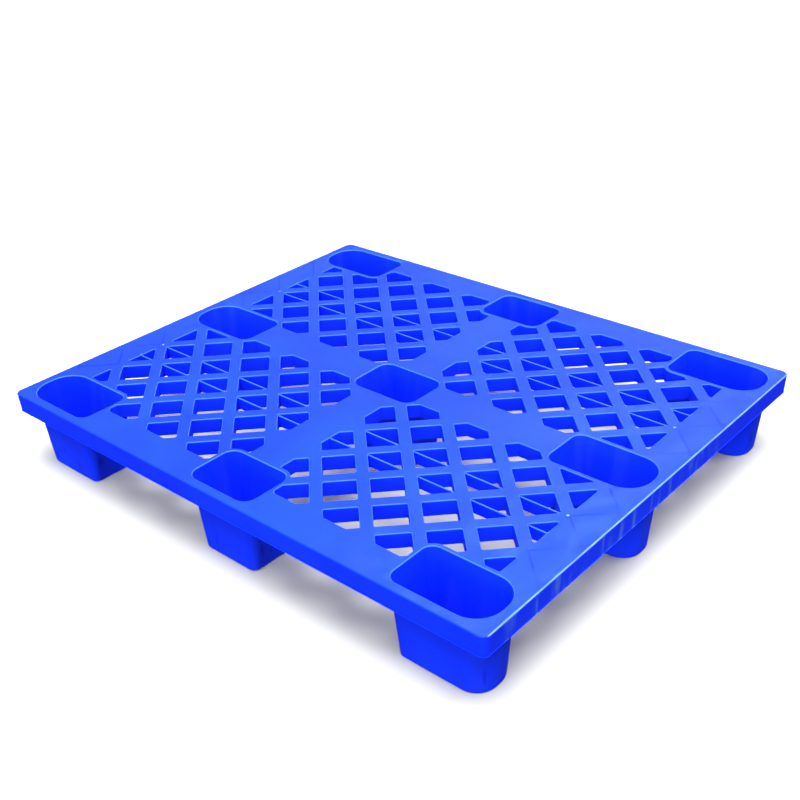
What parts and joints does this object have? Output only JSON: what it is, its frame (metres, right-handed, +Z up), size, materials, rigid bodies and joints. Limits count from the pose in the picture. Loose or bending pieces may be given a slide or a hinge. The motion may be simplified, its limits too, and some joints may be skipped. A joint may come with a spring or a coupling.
{
  "type": "plastic pallet",
  "caption": "Nestable plastic pallet: open diagonal lattice deck in four windows on hollow tapered legs, with fork entry from all four sides.",
  "frame": {"origin": "centre of the pallet's outline at floor level, under the middle of the deck", "axes": "+X along the long side to the right, +Y towards the back, +Z up from the feet to the deck"},
  "size_m": [1.2, 1, 0.158],
  "materials": {
    "blue_moulding": "satin injection-moulded polyethylene, light scuffs on the deck and edges"
  },
  "bodies": {
    "root": {"band_back": "blue_moulding", "band_front": "blue_moulding", "band_left": "blue_moulding", "band_right": "blue_moulding", "border_back_left": "blue_moulding", "border_back_right": "blue_moulding", "border_front_left": "blue_moulding", "border_front_right": "blue_moulding", "border_left_back": "blue_moulding", "border_left_front": "blue_moulding", "border_right_back": "blue_moulding", "border_right_front": "blue_moulding", "edge_rail_back": "blue_moulding", "edge_rail_front": "blue_moulding", "edge_rail_left": "blue_moulding", "edge_rail_right": "blue_moulding", "grid_back_left": "blue_moulding", "grid_back_right": "blue_moulding", "grid_front_left": "blue_moulding", "grid_front_right": "blue_moulding", "leg_back_centre": "blue_moulding", "leg_back_left": "blue_moulding", "leg_back_right": "blue_moulding", "leg_front_centre": "blue_moulding", "leg_front_left": "blue_moulding", "leg_front_right": "blue_moulding", "leg_middle_centre": "blue_moulding", "leg_middle_left": "blue_moulding", "leg_middle_right": "blue_moulding", "long_rib_back_3": "blue_moulding", "long_rib_back_4": "blue_moulding", "long_rib_front_3": "blue_moulding", "long_rib_front_4": "blue_moulding"}
  },
  "joints": []
}
